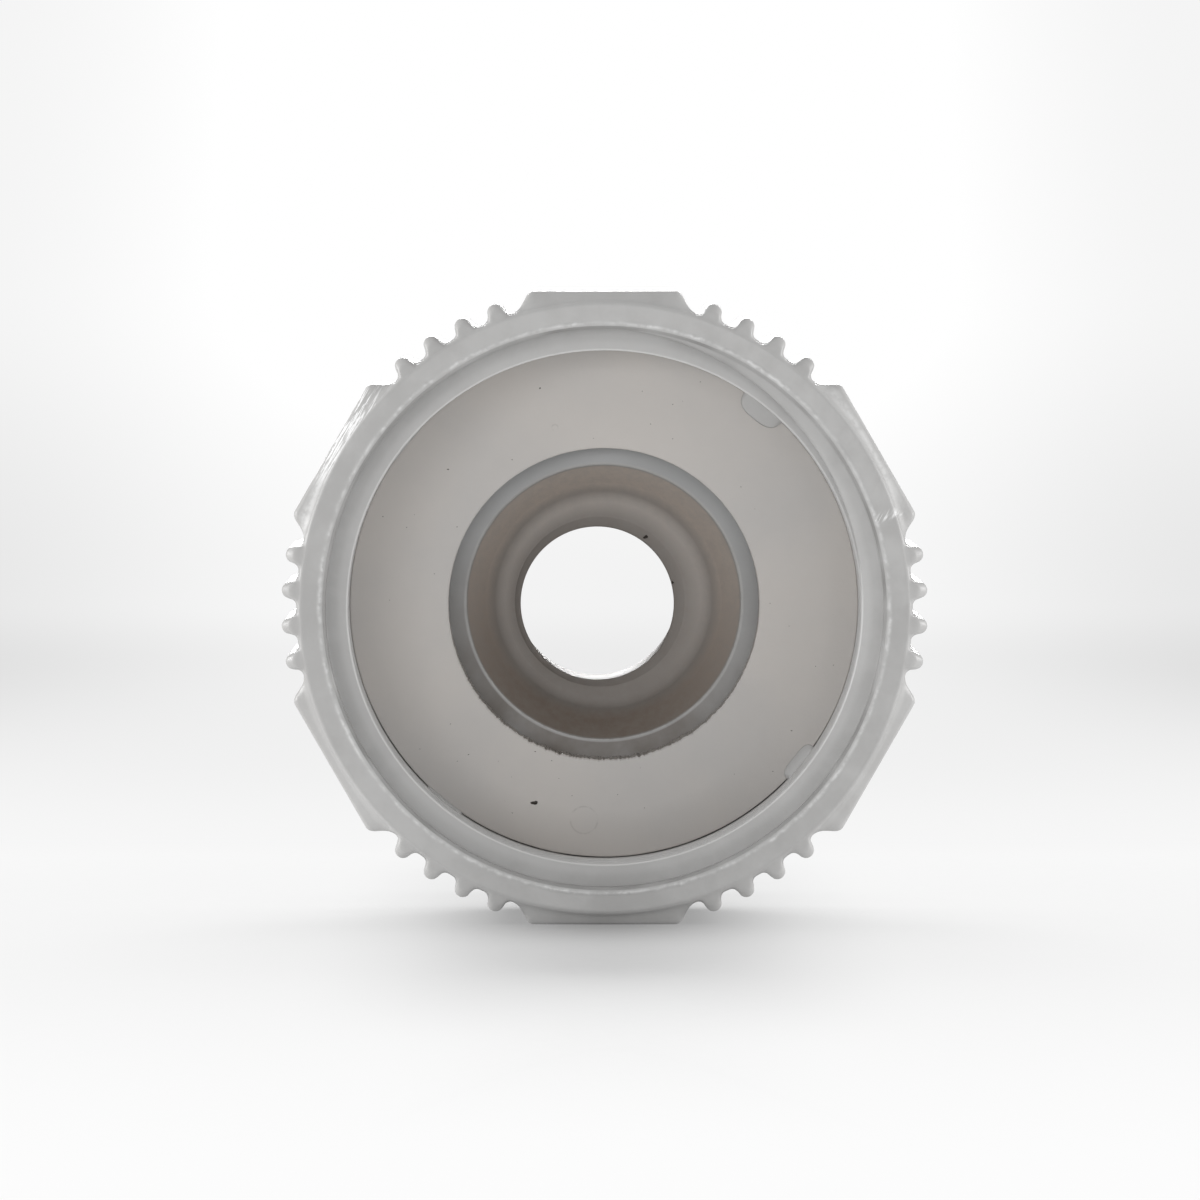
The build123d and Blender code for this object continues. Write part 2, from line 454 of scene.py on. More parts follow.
@dataclass(frozen=True)
class MouldedGrey:
    """Light grey moulded plastic: satin, faintly mottled, with a chalky burr, a warm water coat painted lighter than
    the plastic, painted highlights and painted shade.
    """

    base: Triple = (0.468, 0.465, 0.459)
    cloudy: Triple = (0.420, 0.416, 0.410)
    # chalky white of the burr and the bead, also used as a painted highlight: the glints along the lip's outer foot
    chalk: Triple = (0.69, 0.69, 0.685)
    # Film colour: warm, and painted far lighter than the plastic, as light that lifts the deep funnel out of its
    # shade
    film: Triple = (0.740, 0.665, 0.600)
    # painted shade: dark brown on the low side of the funnel and in the bore
    silt: Triple = (0.325, 0.272, 0.233)
    seat: Triple = (0.425, 0.433, 0.438)
    # painted shade: dark brown on the low side of the seat
    seat_stain: Triple = (0.165, 0.140, 0.118)
    stain: Triple = (0.345, 0.308, 0.272)
    # painted shade: the dark line inside the mouth's edge, the throat's shoulder and the seat's upper side
    grime: Triple = (0.19, 0.185, 0.18)
    # painted light: pale grey that lifts the thread crest, the pocket wall and the nibs out of their shade
    worn: Triple = (0.76, 0.757, 0.75)
    # near white of the scratches on the pad fronts, painted as bright as the highlights they catch
    scuffed: Triple = (0.95, 0.95, 0.95)
    gloss: Pair = (0.36, 0.50)

    def make(self) -> Material:
        """Builds the material from the marks: mottling, stains, the warm coat, chalky burr, scratches, painted
        light, painted highlights and painted shade.

        Returns:
            The material.
        """
        bench = Bench(bpy.data.materials.new("moulded_grey"))
        clouds = bench.noise(95.0, 4.0, 0.55)
        grain = bench.noise(4200.0, 2.0, 0.6)
        streaks = bench.noise(260.0, 5.0, 0.6, DRAWN_OUT)
        blotches = bench.noise(520.0, 4.0, 0.6, DRAWN_OUT)
        cloud = bench.total(bench.times(clouds, 0.5), bench.times(blotches, 0.5))
        low_side = bench.mark("low_side")
        # Film share: where the warm coat, painted lighter than the plastic, lies inside the funnel
        wet = bench.mark("film")
        # painted shade on the seat's low side, streaked
        stained = bench.times(low_side, bench.span(streaks, 0.25, 0.75, 0.6, 1.0))
        mottle = bench.span(bench.noise(2600.0, 3.0, 0.7, DRAWN_OUT), 0.3, 0.7, 0.78, 1.0)
        flakes = bench.span(bench.noise(2400.0, 3.0, 0.6, DRAWN_OUT), 0.36, 0.56, 0.4, 1.0)
        flecks = bench.span(bench.noise(14500.0, 3.0, 0.6, (16.0, 16.0, 1.0), 60.0), 0.48, 0.56)
        # scratches on the pad fronts, partly a painted highlight: near white and glossier
        scuff = bench.times(bench.mark("scuff"), flecks)
        colour = self.base
        for share, layer in (
            (bench.span(cloud, 0.40, 0.60), self.cloudy),
            (bench.times(bench.mark("lip_band"), bench.span(blotches, 0.34, 0.56, 0.25, 1.0)), self.stain),
            # painted light on the thread crest, the pocket wall and the nibs
            (bench.mark("rubbed"), self.worn),
            # seat ring, with painted shade on its low side
            (bench.mark("seat"), bench.tint(stained, self.seat, self.seat_stain)),
            # Film painted lighter than the plastic, as light in the funnel; on the low side painted shade, dark
            # brown
            (bench.times(wet, mottle), bench.tint(low_side, self.film, self.silt)),
            # painted shade inside the mouth's edge, on the throat and on the seat
            (bench.mark("edge_dirt"), self.grime),
            # chalky burr and bead, and the painted highlight of the glints, which ride on the burr mark
            (bench.times(bench.mark("burr"), flakes), self.chalk),
            (scuff, self.scuffed),
        ):
            colour = bench.tint(share, colour, layer)
        gloss = bench.span(streaks, 0.3, 0.7, *self.gloss)
        gloss = bench.math("SUBTRACT", gloss, bench.times(scuff, 0.16))
        gloss = bench.total(gloss, bench.times(wet, 0.2))
        normal = bench.relief(streaks, 0.00006, 0.35, bench.relief(grain, 0.000012, 0.5))
        shine = bench.span(wet, 0.0, 0.6, 0.5, 0.12)
        return bench.surface(Base_Color=colour, Roughness=gloss, IOR=1.5, Specular_IOR_Level=shine, Normal=normal)


@dataclass(frozen=True)
class SheetRubber:
    """Warm grey sheet rubber: smooth and dull, with faint ring marks and pin-prick specks."""

    base: Triple = (0.665, 0.633, 0.602)
    cool: Triple = (0.610, 0.591, 0.573)
    speck: Triple = (0.13, 0.12, 0.11)
    # dark of the hole's cut edge, also painted shade on the hole's low side and the rim's bottom
    edge: Triple = (0.30, 0.275, 0.25)
    ring_spots: tuple[Triple, ...] = ((-2.35, 8.45, 0.15), (-0.96, -10.39, 0.66))

    def make(self, place: Vector, front: float) -> Material:
        """Builds the material.

        Args:
            place: Middle of the mouth face, in metres.
            front: Depth of the washer's front face.

        Returns:
            The material.
        """
        bench = Bench(bpy.data.materials.new("washer_rubber"))
        clouds = bench.noise(110.0, 4.0, 0.5)
        grain = bench.noise(3600.0, 3.0, 0.6)
        colour = bench.tint(bench.span(clouds, 0.35, 0.7), self.base, self.cool)
        for across, up, size in self.ring_spots:
            spot = (place.x + across * MM, place.y + front * MM, place.z + up * MM)
            outer = bench.near(spot, size * MM, (size + 0.05) * MM)
            inner = bench.near(spot, (size - 0.07) * MM, (size - 0.02) * MM)
            ring = bench.times(bench.math("SUBTRACT", outer, inner), bench.span(grain, 0.35, 0.6, 0.0, 0.17))
            colour = bench.tint(ring, colour, self.speck)
        # darker cut edge round the hole, and painted shade about the bottom of the hole and the rim
        colour = bench.tint(bench.mark("cut"), colour, self.edge)
        gloss = bench.span(grain, 0.3, 0.7, 0.55, 0.68)
        normal = bench.relief(clouds, 0.00015, 0.3, bench.relief(grain, 0.000015, 0.5))
        return bench.surface(Base_Color=colour, Roughness=gloss, IOR=1.52, Specular_IOR_Level=0.4, Normal=normal)


@dataclass(frozen=True)
class RingRubber:
    """Black nitrile rubber with a trace of grease."""

    base: Triple = (0.018, 0.018, 0.019)
    bloom: Triple = (0.045, 0.045, 0.047)

    def make(self) -> Material:
        """Builds the material: bloom in patches, with a greasy gloss between them.

        Returns:
            The material.
        """
        bench = Bench(bpy.data.materials.new("o_ring_rubber"))
        patches = bench.noise(420.0, 4.0, 0.6)
        colour = bench.tint(bench.span(patches, 0.4, 0.7), self.base, self.bloom)
        gloss = bench.span(patches, 0.35, 0.65, 0.30, 0.55)
        normal = bench.relief(bench.noise(5200.0, 2.0, 0.5), 0.000010, 0.5)
        return bench.surface(Base_Color=colour, Roughness=gloss, IOR=1.52, Specular_IOR_Level=0.5, Normal=normal)


@dataclass(frozen=True)
class Grit:
    """Dark grains of dirt."""

    base: Triple = (0.030, 0.026, 0.022)
    dust: Triple = (0.075, 0.066, 0.058)

    def make(self) -> Material:
        """Builds the material: brown-black with dustier patches.

        Returns:
            The material.
        """
        bench = Bench(bpy.data.materials.new("grit"))
        patches = bench.noise(9000.0, 2.0, 0.5)
        colour = bench.tint(bench.span(patches, 0.4, 0.6), self.base, self.dust)
        normal = bench.relief(patches, 0.00001)
        return bench.surface(Base_Color=colour, Roughness=0.8, Specular_IOR_Level=0.3, Normal=normal)


# Pieces


@dataclass(frozen=True)
class GripOutline:
    """Cross-section of the grip, as a radius for each angle about the axis."""

    sides: int = 6
    valley_radius: float = 14.6
    flat_distance: float = 15.0
    flat_half_angle: float = 13.5
    flank_angle: float = 26.0
    flat_rounding: float = 0.36
    ribs_per_group: int = 4
    rib_pitch: float = 6.5
    rib_tip_radius: float = 15.31
    rib_tip_rounding: float = 0.40
    rib_root_rounding: float = 0.34
    rib_side_slope: float = 4.0
    root_blend: float = 0.34
    even_share: float = 0.34

    def flats(self, angle: Array) -> Array:
        """Radius of the flats.

        The top is the flat's distance over the cosine of the angle from its middle, and each
        flank is its own distance over the sine of that angle plus the flank's angle.

        Args:
            angle: Angles in degrees.

        Returns:
            Radius at each angle.
        """
        sector = 360.0 / self.sides
        turn = np.radians(np.abs(fold(angle, sector, sector / 2.0)))
        flank = np.radians(self.flank_angle)
        top = self.flat_distance
        flank_distance = top * (np.tan(np.radians(self.flat_half_angle)) * np.cos(flank) + np.sin(flank))
        return soft_min(top / np.cos(turn), flank_distance / np.sin(turn + flank), self.flat_rounding)

    def ribs(self, angle: Array) -> Array:
        """Radius of the ribs and valleys: a circle over the tip, a straight side, a circle in the root.

        Args:
            angle: Angles in degrees.

        Returns:
            Radius at each angle.
        """
        turn = np.abs(fold(angle, 360.0 / self.sides, 0.0))
        group = self.rib_pitch * self.ribs_per_group / 2.0
        inside = np.abs(fold(turn, self.rib_pitch, self.rib_pitch / 2.0))
        from_rib = np.where(turn < group, inside, turn - group + self.rib_pitch / 2.0)
        across = np.radians(from_rib) * self.rib_tip_radius
        lean = np.arctan(self.rib_side_slope)
        tip_middle = self.rib_tip_radius - self.rib_tip_rounding
        root_middle = self.valley_radius + self.rib_root_rounding
        tip_end = self.rib_tip_rounding * np.sin(lean)
        side_top = tip_middle + self.rib_tip_rounding * np.cos(lean)
        side_foot = root_middle - self.rib_root_rounding * np.cos(lean)
        side_end = tip_end + (side_top - side_foot) / self.rib_side_slope
        root_end = side_end + self.rib_root_rounding * np.sin(lean)
        tip = tip_middle + np.sqrt(np.maximum(self.rib_tip_rounding**2 - across**2, 0.0))
        side = side_top - (across - tip_end) * self.rib_side_slope
        to_end = np.maximum(root_end - across, 0.0)
        root = root_middle - np.sqrt(np.maximum(self.rib_root_rounding**2 - to_end**2, 0.0))
        return np.select([across < tip_end, across < side_end], [tip, side], root)

    def radius(self, angle: Array) -> Array:
        """Radius of the whole outline: valleys, flats and ribs together, with filleted roots."""
        return soft_max(self.ribs(angle), self.flats(angle), self.root_blend)

    def columns(self, count: int) -> Array:
        """Angles of the grid's columns, which crowd where the outline turns.

        Along one sector the square root of the outline's turning, evened over a short window, is
        added up with an even part. The columns stand at equal steps of that sum.

        Args:
            count: Columns in the whole turn, a multiple of the sides.

        Returns:
            Angles in degrees.
        """
        sector = 360.0 / self.sides
        window = 51
        dense = np.linspace(-sector / 2.0, sector / 2.0, 6001)
        x, _, z = turned(self.radius(dense), 0.0, np.radians(dense)).T
        heading = np.unwrap(np.arctan2(np.gradient(z), np.gradient(x)))
        turning = np.sqrt(np.abs(np.gradient(heading)))
        turning = np.convolve(np.pad(turning, window // 2, mode="wrap"), np.ones(window) / window, mode="valid")
        steps = self.even_share / len(dense) + (1.0 - self.even_share) * turning / turning.sum()
        total = np.concatenate([[0.0], np.cumsum(steps[1:])])
        one = np.interp(np.arange(count // self.sides) * self.sides / count, total / total[-1], dense)
        return (one + np.arange(self.sides)[:, None] * sector).ravel()


@dataclass
class Moulding(Piece):
    """The grey moulding: threaded collar, six-sided grip, funnel and spigot in one piece."""

    finish: MouldedGrey = MouldedGrey()
    outline: GripOutline = GripOutline()
    columns: int = 696
    back_columns: int = 216
    lip_face: float = 0.05
    mouth_radius: float = 13.37
    major_radius: float = 13.22
    mouth_chamfer: float = 0.2
    burr_radius: float = 13.50
    burr_width: float = 0.085
    burr_height: float = 0.05
    burr_lumps: tuple[float, ...] = (59.0, 71.0, 79.5, 81.0, 204.0, 262.0, 306.0)
    thread_rows: tuple[float, ...] = (
        -1.30, -1.18, -1.03, -0.92, -0.69, -0.50, -0.39, -0.33, -0.28, -0.23,
        -0.17, -0.07, 0.14, 0.31, 0.47, 0.76, 1.00, 1.17, 1.30,
    )
    # painted highlights: centre and spread, in degrees, of the two glints on the lip's foot
    glints: tuple[Pair, ...] = ((33.0, 13.0), (156.0, 14.0))
    lip_radius: float = 14.54
    lip_rounding: float = 0.42
    flat_start: float = 0.45
    rib_start: float = 0.12
    grip_end: float = 19.7
    flat_ease: float = 0.45
    rib_ease: float = 0.62
    rear_ease: float = 1.05
    pocket_radius: float = 12.2
    thread_depth: float = 8.2
    runout_end: float = 8.5
    seat_depth: float = 12.5
    bore_shift: Pair = (-0.3, -0.2)
    total_length: float = 39.2
    pitch: float = 1.814
    thread_height: float = 1.04
    thread_half_foot: float = 0.72
    thread_flank: float = 27.5
    thread_start_angle: float = 85.0
    thread_start_depth: float = 0.98
    thread_lead_in: float = 85.0
    thread_turns: float = 4.35
    crest_rounding: float = 0.13
    foot_rounding: float = 0.2
    nibs: tuple[Triple, ...] = ((51.0, 0.80, 2.3), (141.0, 0.08, 2.1), (231.0, 0.12, 2.1), (321.0, 0.48, 2.0))
    nib_front: float = 9.36
    nib_back: float = 9.495
    # painted light: how far the nibs, which sit in shade, are drawn lighter
    nib_wear: float = 0.45
    flat_sides: Pair = (13.0, 16.0)
    # where the scratches with their painted highlight lie: centre and spread in degrees
    scuff_spot: Pair = (146.0, 9.5)
    nick_angle: float = 18.0
    band_radius: float = 13.97
    band_width: float = 0.12
    low_side_spot: Pair = (262.0, 88.0)
    throat_shade: float = 0.20
    seat_shade: float = 0.16

    def lip_path(self) -> Array:
        """Line over the lip, from inside the mouth out to the grip, with close points on the burr.

        Returns:
            Points of radius and depth.
        """
        path = corner_path([
            (self.major_radius, self.mouth_chamfer + 0.25, 0.0), (self.major_radius, self.mouth_chamfer, 0.04),
            (self.mouth_radius, self.lip_face, 0.04), (self.lip_radius, self.lip_face, self.lip_rounding),
            (self.lip_radius, 0.5, 0.0), (self.outline.valley_radius, 0.6, 0.0),
        ], 8)
        burr = np.linspace(self.burr_radius - 0.11, self.burr_radius + 0.19, 9)
        level = np.abs(path[:, 1] - self.lip_face) < 1e-6
        path = path[~level | (path[:, 0] < burr[0]) | (path[:, 0] > burr[-1])]
        at = int(np.argmax(path[:, 0] > burr[-1]))
        return np.insert(path, at, np.stack([burr, np.full_like(burr, self.lip_face)], -1), axis=0)

    def grip_path(self) -> Array:
        """Line along the valleys of the grip, close-set where its ends are rounded.

        Returns:
            Points of radius and depth.
        """
        front = np.linspace(0.66, self.flat_start + self.flat_ease, 4)
        rear = self.grip_end - self.rear_ease * (1.0 - np.cos(np.linspace(0.0, np.pi / 2.0, 8)))[::-1]
        depth = np.concatenate([front, np.linspace(front[-1], rear[0], 8)[1:-1], rear])
        return np.stack([np.full_like(depth, self.outline.valley_radius), depth], -1)

    def back_path(self) -> Array:
        """Line from the shoulder round the spigot and through the bore to the mouth.

        Returns:
            Points of radius and depth.
        """
        return corner_path([
            (14.52, 19.78, 0.0), (14.42, 19.86, 0.1), (11.4, 21.3, 1.0), (7.1, 21.3, 0.5), (7.1, 25.6, 0.2),
            (8.75, 25.6, 0.15), (8.75, 27.1, 0.2), (7.9, 29.1, 0.4), (7.9, 34.3, 0.12), (6.02, 34.3, 0.2),
            (6.02, 37.3, 0.2), (7.75, 37.3, 0.12), (7.75, 38.6, 0.12), (7.15, self.total_length, 0.12),
            (4.04, self.total_length, 0.2), (3.72, 19.3, 0.25), (4.13, 18.75, 0.15), (5.15, 18.05, 1.3),
            (5.72, 16.2, 2.0), (6.54, 12.95, 0.1), (6.61, self.seat_depth + 0.05, 0.03),
            (6.68, self.seat_depth, 0.03), (self.pocket_radius, self.seat_depth, 0.1),
            (self.pocket_radius, self.runout_end, 0.12), (self.major_radius, self.thread_depth, 0.12),
            (self.major_radius, self.mouth_chamfer + 0.5, 0.0),
        ])

    def bore_share(self, radius: Array, depth: Array) -> Array:
        """How far the bore's shift moves each point: wholly in the bore, less out over the tip's face."""
        end_face = (1.0 - smooth_step(radius, 4.0, 6.9)) * (depth > 37.5)
        return np.maximum(end_face, smooth_step(depth, 18.2, 19.2) * (radius < 4.4))

    def front(self, angle: Array) -> tuple[int, int]:
        """Adds the points of the lip and the grip, with the marks of their wear, painted highlights and painted
        shade.

        Radius is the row's own, plus the outline's height over the valleys times how far the row
        follows the grip, which rises and falls as a quarter circle at the two ends of the grip,
        sooner for the ribs than for the flats. The burr lifts the lip by a random line.

        Args:
            angle: Angles of the columns, in degrees.

        Returns:
            Number of the first point, and how many rows there are.
        """
        path = np.vstack([self.lip_path(), self.grip_path()])
        radius, depth = path[:, :1], path[:, 1:]
        on_flat = smooth_step(np.abs(fold(angle, 360.0 / self.outline.sides, 0.0)), *self.flat_sides)
        start = self.rib_start + (self.flat_start - self.rib_start) * on_flat
        ease = self.rib_ease + (self.flat_ease - self.rib_ease) * on_flat
        outside = radius > self.mouth_radius + 0.5
        rise = np.clip((depth - start) / ease, 0.0, 1.0) * outside
        fall = np.clip((self.grip_end - depth) / self.rear_ease, 0.0, 1.0)
        follow = np.sqrt(1.0 - (1.0 - rise) ** 2) * np.sqrt(1.0 - (1.0 - fall) ** 2)
        reach = radius + (self.outline.radius(angle) - self.outline.valley_radius) * follow
        lip = (depth < 0.45) & (radius > self.major_radius - 0.01)
        stray = 0.035 * hash_noise(angle / 1.1, 3)
        rough = 0.55 + 0.45 * hash_noise(angle / 0.7, 5) + 0.3 * hash_noise(angle / 4.0, 6)
        rough = rough + 0.9 * sum(bell(angle, spot, 1.1) for spot in self.burr_lumps)
        burr = np.exp(-(((radius - self.burr_radius - stray) / self.burr_width) ** 2))
        burr = burr * lip * np.clip(rough, 0.12, 1.0)
        lip_foot = (depth > 0.3) * (depth < 0.55) * (radius > 14.5)
        # painted highlight: two arcs of glint on the lip's outer foot, drawn chalky white through the burr mark
        glint = 0.7 * lip_foot * sum(bell(angle, spot, spread, 6.0) for spot, spread in self.glints)
        # pad fronts by the lip: scratches, painted near white as bright as their highlights
        scuff = (1.0 - smooth_step(depth, 1.2, 2.5)) * outside * smooth_step(reach, 14.45, 14.6)
        nick = 0.8 * lip * (radius > 13.45) * bell(angle, self.nick_angle, 0.5)
        first = self.add_points(
            turned(reach, depth - self.burr_height * burr, np.radians(angle)),
            burr=np.maximum(burr, glint),
            scuff=np.maximum(scuff * bell(angle, *self.scuff_spot, 6.0), nick),
            lip_band=lip * np.exp(-(((radius - self.band_radius) / self.band_width) ** 2)),
            # painted shade: a dark, uneven line inside the mouth's edge, where the chamfer lies in shadow
            edge_dirt=lip * (radius < self.mouth_radius - 0.01) * (0.4 + 0.3 * hash_noise(angle / 5.0, 8)),
        )
        return first, len(path)

    def back(self, angle: Array) -> tuple[int, int]:
        """Adds the points from the shoulder round to the thread, with the marks of water, painted light and painted
        shade.

        Each row is a circle, moved sideways by its share of the bore's shift. Film, bead and the painted shade
        of the low side lie only on the rows past the spigot's tip, where water stood.

        Args:
            angle: Angles of the columns, in degrees.

        Returns:
            Number of the first point, and how many rows there are.
        """
        path = self.back_path()
        radius, depth = path[:, :1], path[:, 1:]
        points = turned(radius, depth, np.radians(angle))
        points[..., ::2] += self.bore_share(radius, depth)[..., None] * np.array(self.bore_shift)
        tip = len(depth) - 1 - int(np.argmax(depth[::-1, 0] > depth.max() - 1e-6))
        inside = (np.arange(len(depth))[:, None] > tip) & (depth > self.seat_depth - 0.1) & (radius < 11.0)
        # Film: warm, painted lighter than the plastic, past the seat and less on the throat's shoulder
        film = inside * smooth_step(depth, 12.5, 13.1) * (1.0 - 0.45 * smooth_step(depth, 16.4, 17.8))
        # low side: bottom of the funnel and the bore, where the painted shade lies
        low_side = bell(angle, *self.low_side_spot, 2.6) * inside
        low_side = np.maximum(low_side, 0.9 * inside * smooth_step(depth, 18.3, 18.7))
        bead = inside * (radius < 6.66) * (1.0 - smooth_step(depth, 12.52, 12.62))
        bead = bead * np.clip(0.15 + 1.05 * low_side + 0.25 * hash_noise(angle / 3.0, 9), 0.0, 1.0)
        seat = (np.abs(depth - self.seat_depth) < 0.02) * (radius > 6.7)
        throat_shade = self.throat_shade * inside * smooth_step(depth, 16.6, 17.8)
        first = self.add_points(
            points,
            film=film,
            burr=bead,
            # painted light: the pocket wall drawn lighter than its shade
            rubbed=(radius > 12.1) * (radius < 12.5) * (depth < 12.0) * (depth > 8.3),
            seat=seat,
            low_side=low_side,
            # painted shade on the throat's shoulder and on the seat's upper side
            edge_dirt=throat_shade + self.seat_shade * seat * bell(angle, 30.0, 60.0, 4.0),
        )
        return first, len(path)

    def wall(self) -> None:
        """Adds the whole wall: a closed line of rows, finer round the lip and grip than behind."""
        angle = self.outline.columns(self.columns)
        even = np.linspace(angle[0], angle[0] + 360.0, self.back_columns, endpoint=False)
        first, rows = self.front(angle)
        start, back_rows = self.back(even)
        self.skins.append([
            grid_faces(rows, len(angle), first, False, True),
            grid_faces(back_rows, len(even), start, False, True),
            joining_faces(angle, even, first + (rows - 1) * len(angle), start),
            joining_faces(even, angle, start + (back_rows - 1) * len(even), first),
        ])

    def thread(self) -> None:
        """Adds the thread: its section carried clockwise down the wall, rooted in it.

        The section's height is what its crest and its two flanks share, with the crest rounded
        and the feet filleted into the wall. Over the lead-in the crest rises from nothing, half
        evenly and half as a sine. Depth grows by the pitch for each turn.
        """
        turn = np.linspace(0.0, 360.0 * self.thread_turns, int(140 * self.thread_turns))[:, None]
        along = self.thread_half_foot * np.array(self.thread_rows)[None, :]
        share = np.clip(turn / self.thread_lead_in, 0.0, 1.0)
        crest = self.thread_height * (0.5 * share + 0.5 * np.sin(share * np.pi / 2.0))
        flank = (self.thread_half_foot - np.abs(along)) / np.tan(np.radians(self.thread_flank))
        height = soft_max(soft_min(crest, flank, self.crest_rounding), np.array(-0.07), self.foot_rounding)
        height = np.pad(height, ((0, 0), (0, 2)), constant_values=-ROOT)
        along = np.hstack([along, 0.9 * along[:, -1:], 0.9 * along[:, :1]])
        depth = self.thread_start_depth + along + self.pitch * turn / 360.0
        depth = depth + 0.88 * np.maximum(self.mouth_chamfer + 0.05 - depth, 0.0)
        angle = np.radians(self.thread_start_angle - turn)
        # painted light: the crest drawn lighter, most at its top, as if lit
        worn = 0.24 * smooth_step(height, 0.3, 0.8) + 0.76 * smooth_step(height, 0.93, 1.0)
        self.add_tube(turned(self.major_radius - height, depth, angle), True, rubbed=worn)

    def nib(self, angle: float, reach: float, width: float) -> None:
        """Adds one nib on the pocket wall: a ramp that rises from the wall back to the washer.

        Its section reaches inwards as a super-ellipse across its width. The reach grows from the
        front to the back as the root of the depth, and drops in a short quarter circle at the back.

        Args:
            angle: Where it stands, in degrees.
            reach: How far it stands in from the wall.
            width: Its width across.
        """
        ridge = 0.86
        ramp = np.linspace(0.0, 1.0, 12) ** 1.6 * ridge
        drop = ridge + (1.0 - ridge) * np.sin(np.linspace(0.15, 1.0, 6) * np.pi / 2.0)
        share = np.concatenate([ramp, drop])[:, None]
        depth = self.nib_front + (self.nib_back - self.nib_front) * share
        past = ((share - ridge) / 0.15).clip(0.0)
        size = 0.03 + 0.97 * np.sqrt(np.clip(share / ridge, 0.0, 1.0)) * np.sqrt(np.clip(1.0 - past**2, 0.0, 1.0))
        power = 0.72 if reach > 0.7 else 0.60
        around = np.linspace(-np.pi / 2.0, np.pi / 2.0, 25)[None, :]
        across = width / 2.0 * np.sign(np.sin(around)) * np.abs(np.sin(around)) ** power * (0.75 + 0.25 * size)
        across = np.hstack([across, across[:, -1:], across[:, :1]])
        inward = np.pad(reach * np.cos(around) ** power * size, ((0, 0), (0, 2)), constant_values=-ROOT)
        turn = np.radians(angle) + across / self.pocket_radius
        # painted light: the whole nib drawn lighter than its shade
        self.add_tube(turned(self.pocket_radius - inward, depth, turn), True, rubbed=self.nib_wear)

    def build(self) -> Object:
        """Makes and dresses the moulding.

        Returns:
            The piece, standing for the CAD body.
        """
        self.wall()
        self.thread()
        for nib in self.nibs:
            self.nib(*nib)
        piece = self.stand("connector_moulding", self.finish.make())
        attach(piece, "root")
        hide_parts("body")
        return piece


@dataclass
class Washer(Piece):
    """Flat sealing washer, die-cut from rubber sheet with a ragged edge to its hole."""

    finish: SheetRubber = SheetRubber()
    front: float = 9.5
    back: float = 12.49
    hole_radius: float = 7.45
    outer_radius: float = 12.19
    gap: float = 0.042
    gap_spot: Pair = (266.0, 64.0)
    columns: int = 1440
    tooth: float = 0.07
    ragged_spot: Pair = (262.0, 62.0)

    def section(self) -> Array:
        """Closed line round the washer's section, with small roundings.

        Returns:
            Points of radius and depth.
        """
        middle = (self.hole_radius + self.outer_radius) / 2.0
        return corner_path([
            (middle, self.front, 0.0), (self.outer_radius, self.front, 0.06),
            (self.outer_radius, self.back, 0.06), (self.hole_radius, self.back, 0.06),
            (self.hole_radius, self.front, 0.045), (middle, self.front, 0.0),
        ], 3)[:-1]

    def build(self) -> Object:
        """Makes and dresses the washer.

        Near the hole each point moves outwards by random teeth, which are strongest about the
        bottom. The rim draws in by the gap there, and the face waves by a hundredth of a millimetre.

        Returns:
            The piece, standing for the CAD washer.
        """
        section = self.section()
        angle = np.linspace(0.0, 360.0, self.columns, endpoint=False)
        start, depth = section[:, :1], section[:, 1:]
        near = 1.0 - smooth_step(start, self.hole_radius, self.hole_radius + 0.5)
        ragged = 0.10 + 0.9 * bell(angle, *self.ragged_spot, 4.0)
        teeth = 0.7 * np.abs(hash_noise(angle / 1.3, 11)) + 1.1 * np.abs(hash_noise(angle / 0.6, 12)) ** 2
        teeth = teeth + 0.2 * hash_noise(angle / 5.0, 13)
        drift = 0.25 * (depth - self.front) * hash_noise(angle / 2.1, 14)
        wave = 0.012 * np.sin(np.radians(angle) * 3.0 + start) * (depth < self.front + 0.5)
        loose = bell(angle, *self.gap_spot, 12.0) * (0.85 + 0.15 * hash_noise(angle / 6.0, 15))
        outer = smooth_step(start, self.outer_radius - 0.3, self.outer_radius - 0.02)
        radius = start + near * ragged * self.tooth * (teeth + drift) - outer * loose * self.gap
        # darker cut edge round the hole, mostly painted shade: strongest about the bottom, where the hole's wall
        # lies in shadow
        cut = near * (0.25 + 0.75 * bell(angle, 255.0, 60.0, 4.0)) * (start < self.hole_radius + 0.06)
        # painted shade: the rim darker about the bottom, where the lip shades it
        settled = smooth_step(radius, 11.5, 12.0) * bell(angle, 274.0, 42.0, 4.0)
        self.add_tube(turned(radius, depth + wave, np.radians(angle)), False, cut=0.35 * cut + 0.40 * settled)
        piece = self.stand("tap_washer", self.finish.make(self.place, self.front))
        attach(piece, "root")
        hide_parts("sealing_washer")
        return piece


